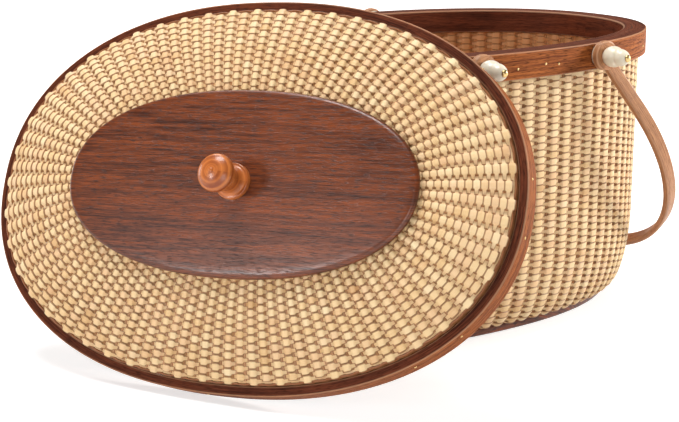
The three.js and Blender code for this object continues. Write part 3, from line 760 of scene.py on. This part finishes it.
def wall_profile():
    """Rows of the wall's face from behind the rim into the base's groove: inset, height, normal out and up"""
    s, w = sizes(), weave()
    upright, lean, turn_at = 0.0058, 0.0010, 0.070
    behind_rim, past_base, into_groove = 0.004, 0.0038, 0.0062
    groove = s.base_foot + s.fit
    tuck = (s.half_length - upright - lean) - (s.base_half_length + past_base)
    top = s.rim_top - s.outer_height
    high = np.linspace(top + behind_rim, turn_at, 90)[:-1]
    turns = np.linspace(0.0, np.pi / 2, 80)
    under = np.linspace(0.0, into_groove, 8)[1:]
    leaning = upright + lean * np.clip((top - high) / (top - turn_at), 0, 1)
    turning = upright + lean + tuck * (1 - np.cos(turns))
    inset = np.concatenate([leaning, turning, turning[-1] + under])
    z = np.concatenate([high, turn_at - (turn_at - groove) * np.sin(turns), np.full(len(under), groove)])
    run = run_of(np.hypot(np.diff(inset), np.diff(z)))
    rows = np.arange(0.5 * w.row, run[-1] - 0.3 * w.row, w.row)
    slope_out = np.interp(rows, run, np.gradient(-inset, run))
    slope_up = np.interp(rows, run, np.gradient(z, run))
    size = np.hypot(slope_out, slope_up)
    return np.interp(rows, run, inset), np.interp(rows, run, z), -slope_up / size, slope_out / size


class Loom:
    """Staves spaced evenly round one oval, and the rounds of cane woven past them"""

    def __init__(self, columns, half_length, half_width, seed):
        one = [*PASS_AT, *(1.0 - p for p in PASS_AT[-2:0:-1])]
        self.columns, self.steps = columns, len(one)
        self.at = (np.arange(columns)[:, None] + np.array(one)).ravel()
        self.angles = even_angles(half_length, half_width, self.at / columns)
        self.dice = np.random.default_rng(seed)

    def weaver(self, row):
        """Swing, girth and tone at each point of one round"""
        near = np.round(self.at)
        off = np.abs(self.at - near)
        swing = (1.0 - 2.0 * ((near + row) % 2)) * np.interp(off, PASS_AT, PASS_SWING)
        girth = np.interp(off, PASS_AT, PASS_GIRTH)
        shared, own = self.dice.normal(0.55, 0.12), self.dice.normal(0.55, 0.14, self.columns)
        tone = np.clip(shared * 0.35 + own * 0.65, 0.0, 1.0)
        return swing, girth, tone[near.astype(int) % self.columns]

    def rounds(self, rings, rows, deep, sway, flat=False):
        """Weave these rows of rings about a depth; flat rounds keep their full width and are painted in full
        shade
        """
        strands = Strands()
        for r in rows:
            a, b, middle, z, normal = rings[r]
            swing, girth, tone = self.weaver(r)
            path, facing = below_face(oval(a, b, self.angles), middle, z, normal, deep - sway * swing)
            # Flat rounds get out 0, so the finish paints them in full shade
            girth, out = (1.0, 0.0) if flat else (girth, np.abs(swing))
            strands.lay(path, True, facing=facing, girth=girth, tone=tone, out=out)
        return strands

    def stave(self, strands, path, facing, girth):
        strands.lay(path, False, facing=facing, girth=girth, tone=self.dice.uniform(0.3, 0.7), out=1.0)


class BASKET_OT_weave_wall(bpy.types.Operator):
    """Weave the wall from upright staves and level cane weavers"""

    bl_idname = "basket.weave_wall"
    bl_label = "Weave Wall"

    def execute(self, context):
        s, w = sizes(), weave()
        face_inset, stave_inset, tail_length, every = 0.0052, 0.006, 0.006, 3
        loom = Loom(w.wall_staves, s.half_length - face_inset, s.half_width - face_inset, SEED)
        inset, height, out, up = wall_profile()
        long, wide = s.half_length - inset, s.half_width - inset
        rings = [(a, b, 0.0, z, normal) for a, b, z, *normal in zip(long, wide, height, out, up)]
        parts = ("top", "upper", "middle", "lower", "low")
        for label, rows in zip(parts, np.array_split(np.arange(len(rings)), len(parts))):
            strands = loom.rounds(rings, rows, w.middle, w.wall_sway)
            mesh = strands.mesh(f"wall_weave_{label}", w.cane_width, w.cane_thickness, "cane")
            piece(mesh, "basket", None, ["woven_wall"])
        staves = Strands()
        spots = oval(1.0, 1.0, loom.angles)
        sides = outward(oval(s.half_length - stave_inset, s.half_width - stave_inset, loom.angles))
        for (x, y), side in zip(spots[:: loom.steps], sides[:: loom.steps]):
            facing = np.column_stack([np.outer(out, side), up])
            path = np.column_stack([long * x, wide * y, height]) - facing * w.middle
            tail = path[-1] - np.append(side, 0.0) * tail_length
            path, facing = np.vstack([path[::every], tail]), np.vstack([facing[::every], facing[-1]])
            loom.stave(staves, path, facing, 1.0)
        # The staves are cane painted darker, as shade behind the weavers
        mesh = staves.mesh("wall_staves", w.stave_width, w.stave_thickness, "cane_in_painted_shade")
        piece(mesh, "basket", None, ["woven_wall"])
        return {"FINISHED"}


def dome_ring(share):
    """One ring of the lid's dome from its hoop to the plaque: half sizes, middle, height, normal"""
    s = sizes()
    start, rise, lap = 0.0043, 0.0170, 0.0070
    edge = s.lid_thickness + s.fit
    a, b = s.half_length - edge, s.half_width - edge
    slope = 2.0 * (rise - start) * (1.0 - share) / (a - s.plaque_half_length)
    tilt = math.hypot(1.0, slope)
    return (
        a + (s.plaque_half_length - lap - a) * share,
        b + (s.plaque_half_width - lap - b) * share,
        np.array([s.plaque_along, s.plaque_across]) * share,
        rise - (rise - start) * (1.0 - share) ** 2,
        (slope / tilt, 1.0 / tilt),
    )


def hem_ring(z):
    """One upright ring of the lid's weave in the slot between its hoops, as in dome_ring"""
    s = sizes()
    inset = s.lid_thickness + 0.0007
    return s.half_length - inset, s.half_width - inset, np.zeros(2), z, (1.0, 0.0)


class BASKET_OT_weave_lid(bpy.types.Operator):
    """Weave the domed lid from radiating staves and oval rounds of cane"""

    bl_idname = "basket.weave_lid"
    bl_label = "Weave Lid"

    def execute(self, context):
        w = weave()
        hem_top, hem_rows, hem_sway = 0.001, 6, 0.0004
        even_at, stave_share, stave_end = 0.7, 0.9, 0.6
        loom = Loom(w.lid_staves, *dome_ring(even_at)[:2], SEED + 1)
        shares = np.linspace(0.0, 1.0, 400)
        fine = [dome_ring(q) for q in shares]
        run = run_of([math.hypot(p[0] - q[0], p[3] - q[3]) for p, q in zip(fine, fine[1:])])
        rings = [hem_ring(z) for z in hem_top - np.arange(hem_rows)[::-1] * w.row]
        rings += [dome_ring(np.interp(q, run, shares)) for q in np.arange(0.75 * w.row, run[-1], w.row)]
        place = lid_place()
        # The hem rounds in the slot between the lid's hoops are cane painted dark, as shade
        hem = loom.rounds(rings, range(hem_rows), hem_sway, hem_sway, flat=True)
        mesh = hem.mesh("lid_weave_hem", w.cane_width, w.cane_thickness, "cane_in_painted_shade")
        piece(mesh, "lid", None, ["lid_weave"], place)
        parts = ("outer", "middle", "inner")
        for label, rows in zip(parts, np.array_split(np.arange(hem_rows, len(rings)), len(parts))):
            strands = loom.rounds(rings, rows, w.middle, w.lid_sway)
            mesh = strands.mesh(f"lid_weave_{label}", w.cane_width, w.cane_thickness, "cane")
            piece(mesh, "lid", None, ["lid_weave"], place)
        staves = Strands()
        stops = [hem_ring(z) for z in (-0.0125, -0.007, -0.002)]
        stops += [dome_ring(q) for q in np.linspace(0.03, 1.0, 12)]
        laid = [below_face(oval(a, b, loom.angles), *rest, w.middle) for a, b, *rest in stops]
        paths, facings = (np.stack([stop[i][:: loom.steps] for stop in laid], 1) for i in (0, 1))
        for path, facing in zip(paths, facings):
            loom.stave(staves, path, facing, np.linspace(1.0, stave_end, len(stops)))
        # The lid's staves are cane painted darker, as shade behind the weavers
        mesh = staves.mesh("lid_staves", stave_share * w.stave_width, w.stave_thickness, "cane_in_painted_shade")
        piece(mesh, "lid", None, ["lid_weave"], place)
        return {"FINISHED"}


# Woodwork


class BASKET_OT_bend_hoops(bpy.types.Operator):
    """Bend the walnut hoops of the basket's rim and of the lid"""

    bl_idname = "basket.bend_hoops"
    bl_label = "Bend Hoops"

    def execute(self, context):
        s = sizes()
        e, fine = s.hoop_edge, 0.0003
        weave_room, ceiling = 0.0051, -0.0068
        top, low, cap = s.rim_top, s.rim_top - s.outer_height, s.rim_top - s.cap_thickness
        lap, inner = s.inner_inset - s.fit, s.inner_inset + s.inner_thickness
        section = [(s.outer_thickness, low, fine), (0.0, low, e), (0.0, top, e)]
        section += [(lap, top, fine), (lap, cap, fine), (s.outer_thickness, cap, fine)]
        piece(hoop_mesh("rim_outer_hoop", section), "basket", "hoop_walnut", ["outer_rim"])
        low = top - s.inner_height
        section = [(inner, low, e), (s.inner_inset, low, fine)]
        section += [(s.inner_inset, top, fine), (inner, top, 1.3 * e)]
        piece(hoop_mesh("rim_inner_hoop", section), "basket", "inner_walnut", ["inner_rim"])
        place = lid_place()
        low = -s.lid_height
        section = [(s.lid_thickness, low, fine), (0.0, low, e), (0.0, 0.0, e), (s.lid_thickness, 0.0, e)]
        piece(hoop_mesh("lid_outer_hoop", section), "lid", "hoop_walnut", ["lid_outer_rim"], place)
        hold = s.lid_thickness + weave_room
        face, lip = s.lip_inset + s.lip_thickness, low - s.lip_depth
        section = [(face, lip, e), (s.lip_inset, lip, fine), (s.lip_inset, low, fine)]
        section += [(hold, low, fine), (hold, ceiling, fine), (face, ceiling, fine)]
        piece(hoop_mesh("lid_inner_hoop", section), "lid", "hoop_walnut", ["lid_inner_rim"], place)
        return {"FINISHED"}


class BASKET_OT_shape_boards(bpy.types.Operator):
    """Shape the grooved base board and the lid's bullnosed plaque"""

    bl_idname = "basket.shape_boards"
    bl_label = "Shape Boards"

    def execute(self, context):
        s = sizes()
        ease, step, lip, flat, hub = 0.0015, 0.0015, 0.0004, 0.02, 0.003
        lead = ease + 0.0006
        quarter = np.linspace(0, np.pi / 2, 6)
        middle = s.base_half_width - hub
        section = [(middle, 0.0), (flat, 0.0), (lead, 0.0)]
        section += [(ease * (1 - math.sin(t)), ease * (1 - math.cos(t))) for t in quarter]
        section += [(0.0, s.base_foot - lip), (lip, s.base_foot)]
        section += [(s.groove_depth, s.base_foot), (s.groove_depth, s.groove_roof), (step, s.groove_roof)]
        section += [(step + ease * (1 - math.cos(t)), s.base_top - ease * (1 - math.sin(t))) for t in quarter]
        section += [(step + lead, s.base_top), (flat, s.base_top), (middle, s.base_top)]
        mesh = board_mesh("base_oval_board", s.base_half_length, s.base_half_width, section)
        piece(mesh, "basket", "walnut", ["base_board"])
        tongue, stepped = 0.007, 0.0096
        nose, seat, middle = s.plaque_thickness / 2, s.plaque_seat, s.plaque_half_width - hub
        face = seat + s.plaque_thickness
        section = [(middle, seat - tongue), (stepped, seat - tongue), (stepped, seat), (nose, seat)]
        for t in np.radians(np.linspace(-80, 84, 12)):
            section.append((nose * (1 - math.cos(t)), seat + nose * (1 + math.sin(t))))
        for q in np.linspace(0.07, 1.0, 16):
            section.append((q * middle, face + s.plaque_crown * (1 - (1 - q) ** 2)))
        mesh = board_mesh("lid_oval_plaque", s.plaque_half_length, s.plaque_half_width, section)
        piece(mesh, "lid", "walnut", ["lid_plaque"], plaque_place())
        return {"FINISHED"}


def strip_stations():
    """Stations of one bent strip: place along and across, outward turn, half width, in its own plane"""
    s = sizes()
    flare, arm, taper, radius = math.radians(10.7), 0.038, 0.06, s.paddle_radius
    half = washer_seat() + 2 * s.fit + s.washer_thickness + s.handle_thickness / 2
    paddle = [*-np.cos(np.linspace(0.06, np.pi / 2, 14)), *np.linspace(0.12, 1.0, 9)]
    stations = [(q * radius, -half, -np.pi / 2) for q in paddle]
    bow = (half + arm * math.sin(flare)) / math.cos(flare)
    middle = radius + arm * math.cos(flare) + bow * math.sin(flare)
    for share in np.linspace(0.0, 1.0, 44):
        turn = (-np.pi / 2 - flare) * (1 - share)
        stations.append((middle + bow * math.cos(turn), bow * math.sin(turn), turn))
    stations += [(x, -y, -t) for x, y, t in stations[-2::-1]]
    track = np.array([(x, y) for x, y, _ in stations])
    run = path_run(track)
    ends = np.minimum(run, run[-1] - run) + track[0, 0] + radius
    bulge = np.sqrt(np.clip(radius**2 - (ends - radius) ** 2, 0, None))
    share = np.clip((ends - 2 * radius) / taper, 0, 1)
    strip = (s.neck_width + (s.grip_width - s.neck_width) * share * share * (3 - 2 * share)) / 2
    wide = np.where(ends > radius, np.maximum(bulge, strip), bulge)
    return track, np.array([t for *_, t in stations]), wide


class BASKET_OT_bend_handles(bpy.types.Operator):
    """Bend the two swing handles, with a round paddle at each pivot"""

    bl_idname = "basket.bend_handles"
    bl_label = "Bend Handles"

    def execute(self, context):
        s = sizes()
        track, turns, wide = strip_stations()
        half, ease = s.handle_thickness / 2, 0.0014
        drop = handle_drop()
        for side, name in ((1, "right"), (-1, "left")):
            grid, wear_and_highlight = [], []
            for (along, across), turn, w in zip(track, turns, wide):
                e = min(ease, 0.5 * w)
                section, worn = rounded([(half, -w, e), (half, w, e), (-half, w, e), (-half, -w, e)], 3)
                out = np.array([math.cos(turn), math.sin(turn)])
                place = np.array([along, across]) + section[:, :1] * out
                x = s.pivot_x + place[:, 0] * math.cos(drop) + section[:, 1] * math.sin(drop)
                z = s.pivot_z - place[:, 0] * math.sin(drop) + section[:, 1] * math.cos(drop)
                grid.append(np.column_stack([side * x, place[:, 1], z]))
                wear_and_highlight.append(worn)
            mesh = grid_mesh(f"{name}_bent_handle", np.array(grid), False, True)
            # The finish lightens the eased corners, partly as wear and partly as a painted highlight
            mark(mesh, "worn", np.array(wear_and_highlight))
            close_mesh(mesh, 60.0)
            piece(mesh, f"{name}_handle", "handle_wood", [f"{name}_handle"])
        return {"FINISHED"}


# Hardware


def pivot_profiles():
    """Paths of (radius, height) of a washer, a knob and a pin, out from the basket's middle"""
    s = sizes()
    fit, bore = s.fit, 0.0019
    ball_radius, ball_height, ball_cut = 0.0074, 0.011, 40.0
    cap_radius, cap_height, neck_radius, neck_groove = 0.0061, 0.008, 0.0053, 0.0002
    pin_radius, pin_end, head_radius, head_height = 0.0016, 0.1065, 0.0026, 0.0018
    rim, low_ease, top_ease = s.washer_radius, 0.0004, 0.0005
    seat = washer_seat() + fit
    top = seat + s.washer_thickness
    washer = [(bore, seat), (rim - low_ease, seat), (rim, seat + low_ease)]
    washer += [(rim, top - top_ease), (rim - top_ease, top), (bore, top), (bore, seat)]
    knob_seat = top + 2 * fit + s.handle_thickness
    ball_half = ball_height / 2 / math.sin(math.radians(ball_cut))
    cap_low = knob_seat + ball_height + fit
    cap_cut = math.degrees(math.acos((head_radius + fit) / cap_radius))
    cap_top = cap_low + cap_height * math.sin(math.radians(cap_cut))
    knob = [(bore, knob_seat)]
    knob += arc(0, knob_seat + ball_height / 2, ball_radius, ball_half, -ball_cut, ball_cut, 14)
    knob += [(neck_radius, cap_low - neck_groove), (neck_radius, cap_low)]
    knob += arc(0, cap_low, cap_radius, cap_height, 1, cap_cut, 12)
    knob += [(bore, cap_top), (bore, knob_seat)]
    head = cap_top + fit
    pin = [(0, pin_end), (pin_radius, pin_end), (pin_radius, head), (head_radius, head)]
    pin += arc(0, head, head_radius, head_height, 8, 90, 8)
    return washer, knob, pin


def lid_knob_profile():
    """Path of (radius, height) of the lid's turned knob, bored for its screw"""
    s = sizes()
    foot_radius, foot_height, ease = 0.0118, 0.0034, 0.001
    neck_radius, bead_radius = 0.0072, 0.0092
    head_radius, head_half, head_cut, tall = 0.0123, 0.0070, 55, 0.031
    nib_radius, nib_height, bore_radius, bore_depth = 0.0018, 0.0008, 0.0023, 0.0126
    top = s.plaque_seat + s.plaque_thickness + s.plaque_crown
    foot = top + s.fit
    shoulder = foot + foot_height
    head_middle = foot + tall - nib_height - head_half
    head_low = head_middle - head_half * math.sin(math.radians(head_cut))
    bead = (head_low - shoulder) / 6
    bead_low = head_low - 2 * bead
    path = [(0, top + bore_depth), (bore_radius, top + bore_depth), (bore_radius, foot), (foot_radius, foot)]
    path += arc(foot_radius - ease, shoulder - ease, ease, ease, 0, 90, 5)
    for t in np.linspace(0.08, 1.0, 12):
        radius = neck_radius + (1 - t) ** 2 * (foot_radius - ease - neck_radius)
        path.append((radius, shoulder + t * t * (bead_low - shoulder)))
    path += arc(bead_radius - bead, bead_low + bead, bead, bead, -90, 90, 10)
    nib_cut = math.degrees(math.acos(nib_radius / head_radius))
    path += arc(0, head_middle, head_radius, head_half, -head_cut, nib_cut, 26)
    return path + arc(0, head_middle + head_half, nib_radius, nib_height, 0, 90, 5)


class BASKET_OT_turn_hardware(bpy.types.Operator):
    """Turn the bone washers and knobs, the brass pins and the lid's cherry knob"""

    bl_idname = "basket.turn_hardware"
    bl_label = "Turn Hardware"

    def execute(self, context):
        s = sizes()
        washer, knob, pin = pivot_profiles()
        turned = (("washer", washer, "bone", 48), ("knob", knob, "bone", 48), ("pin", pin, "brass", 24))
        for side, name in ((1, "right"), (-1, "left")):
            for way, where in ((-1, "near"), (1, "far")):
                turn = Matrix.Rotation(-way * math.pi / 2, 4, "X")
                place = Matrix.Translation((side * s.pivot_x, 0.0, s.pivot_z)) @ turn
                at = f"{name}_{where}"
                for label, path, kind, sides in turned:
                    mesh = turned_mesh(f"{at}_{kind}_{label}", path, sides)
                    piece(mesh, "basket", kind, [f"{at}_{label}"], place)
        mesh = turned_mesh("lid_cherry_knob", lid_knob_profile(), 64)
        piece(mesh, "lid", "cherry", ["lid_knob"], plaque_place())
        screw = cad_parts["lid_knob_screw"].data
        screw.materials.clear()
        screw.materials.append(finish("brass"))
        return {"FINISHED"}


class BASKET_OT_set_brads(bpy.types.Operator):
    """Set small brass brads in the hoops' bands"""

    bl_idname = "basket.set_brads"
    bl_label = "Set Brads"

    def execute(self, context):
        s = sizes()
        inputs = {"Radius": 0.0009, "Height": 0.0005, "Material": finish("brass")}
        step = 0.05
        fine = np.radians(np.arange(-180, 180, step))
        ring = oval(s.half_length, s.half_width, fine)
        side = outward(ring)
        bands = (("rim_brads", "basket", RIM_BRADS, None), ("lid_brads", "lid", LID_BRADS, lid_place()))
        for name, body, half, place in bands:
            spots = [*half, *((a + 180.0, z) for a, z in half)]
            index = [int(round((a + 180.0) % 360.0 / step)) % len(fine) for a, _ in spots]
            facing = np.column_stack([side[index], np.zeros(len(spots))])
            points = np.column_stack([ring[index], [z for _, z in spots]])
            mesh = grown(name, brad_tree(), points, [], {"facing": facing}, inputs)
            piece(mesh, body, None, place=place)
        return {"FINISHED"}


# Stage


class BASKET_OT_light_stage(bpy.types.Operator):
    """Lay the pale floor, set the lamps and aim the camera"""

    bl_idname = "basket.light_stage"
    bl_label = "Light Stage"

    def execute(self, context):
        scene = context.scene
        scene.view_settings.view_transform = "Standard"
        reach = 6.0
        corners = [(-reach, -reach, 0), (reach, -reach, 0), (reach, reach, 0), (-reach, reach, 0)]
        floor = bpy.data.meshes.new("studio_floor")
        floor.from_pydata(corners, [], [(0, 1, 2, 3)])
        floor.materials.append(self.paper())
        ground = bpy.data.objects.new("studio_floor", floor)
        scene.collection.objects.link(ground)
        scene.world = self.sky()
        for lamp in LAMPS:
            self.hang(*lamp)
        camera = bpy.data.cameras.new("photo_camera")
        camera.sensor_fit = "HORIZONTAL"
        camera.sensor_width = SENSOR_WIDTH
        camera.lens = CAMERA_FOCUS * SENSOR_WIDTH / PHOTO_WIDTH
        camera.clip_end = 50.0
        view = bpy.data.objects.new("photo_camera", camera)
        view.location = CAMERA_PLACE
        view.rotation_euler = CAMERA_TURN
        scene.collection.objects.link(view)
        scene.camera = view
        return {"FINISHED"}

    def paper(self):
        """Pale paper that looks white further off and keeps the basket's shadow"""
        shop = Shop(bpy.data.materials.new("studio_paper"))
        seen = shop.add("ShaderNodeLightPath", output="Is Camera Ray")
        for ray in ("Is Glossy Ray", "Is Transmission Ray"):
            seen = seen + shop.add("ShaderNodeLightPath", output=ray)
        matt = shop.add("ShaderNodeBsdfDiffuse", {}, {"Color": finishes().floor})
        spot = {0: shop.object_place()}
        far = shop.add("ShaderNodeVectorMath", {"operation": "LENGTH"}, spot, output="Value")
        level = 0.6 + 0.4 * shop.ramp(far * 0.4, (0.2, 0.0), (0.6, 1.0))
        shown = shop.mix(level * seen, (0.0, 0.0, 0.0), (1.0, 1.0, 1.0))
        glow = shop.add("ShaderNodeEmission", {}, {"Color": shown, "Strength": 1.0})
        both = shop.add("ShaderNodeAddShader", {}, {0: matt, 1: glow})
        shop.add("ShaderNodeOutputMaterial", {}, {"Surface": both})
        return shop.owner

    def sky(self):
        """Soft grey light all round, a little less from above"""
        shop = Shop(bpy.data.worlds.new("studio_white"))
        place = shop.add("ShaderNodeTexCoord", output="Generated")
        height = shop.add("ShaderNodeSeparateXYZ", {}, {0: place}, output="Z")
        fall = {"Value": height, "From Max": 0.55, "To Min": 0.2, "To Max": 0.12}
        level = shop.add("ShaderNodeMapRange", {}, fall)
        light = shop.add("ShaderNodeBackground", {}, {"Color": level, "Strength": 1.0})
        shop.add("ShaderNodeOutputWorld", {}, {"Surface": light})
        return shop.owner

    def hang(self, name, way, distance, size, power):
        data = bpy.data.lights.new(f"{name}_lamp", "AREA")
        data.shape = "DISK"
        data.size = size
        data.energy = power
        lamp = bpy.data.objects.new(f"{name}_lamp", data)
        toward = Vector(way).normalized()
        lamp.location = Vector(LAMP_AIM) + toward * distance
        lamp.rotation_euler = toward.to_track_quat("Z", "Y").to_euler()
        bpy.context.scene.collection.objects.link(lamp)


STEPS = (
    BASKET_OT_light_stage,
    BASKET_OT_weave_wall,
    BASKET_OT_weave_lid,
    BASKET_OT_bend_hoops,
    BASKET_OT_shape_boards,
    BASKET_OT_bend_handles,
    BASKET_OT_turn_hardware,
    BASKET_OT_set_brads,
)


class BASKET_PT_maker(bpy.types.Panel):
    """Sizes, finishes and steps of the basket"""

    bl_idname = "BASKET_PT_maker"
    bl_label = "Oval Basket"
    bl_space_type = "VIEW_3D"
    bl_region_type = "UI"
    bl_category = "Basket"

    def draw(self, context):
        layout = self.layout
        for step in STEPS:
            layout.operator(step.bl_idname)
        for group in (context.scene.basket_sizes, context.scene.basket_weave, context.scene.basket_finishes):
            column = layout.column()
            for name in group.bl_rna.properties.keys():
                if name not in {"rna_type", "name"}:
                    column.prop(group, name)


CLASSES = (BasketSizes, WeaveSizes, BasketFinishes, *STEPS, BASKET_PT_maker)


def register():
    for cls in CLASSES:
        bpy.utils.register_class(cls)
    bpy.types.Scene.basket_sizes = PointerProperty(type=BasketSizes)
    bpy.types.Scene.basket_weave = PointerProperty(type=WeaveSizes)
    bpy.types.Scene.basket_finishes = PointerProperty(type=BasketFinishes)


def unregister():
    del bpy.types.Scene.basket_finishes
    del bpy.types.Scene.basket_weave
    del bpy.types.Scene.basket_sizes
    for cls in reversed(CLASSES):
        bpy.utils.unregister_class(cls)


def main():
    register()
    bpy.ops.basket.light_stage()
    bpy.ops.basket.weave_wall()
    bpy.ops.basket.weave_lid()
    bpy.ops.basket.bend_hoops()
    bpy.ops.basket.shape_boards()
    bpy.ops.basket.bend_handles()
    bpy.ops.basket.turn_hardware()
    bpy.ops.basket.set_brads()


if __name__ == "__main__":
    main()
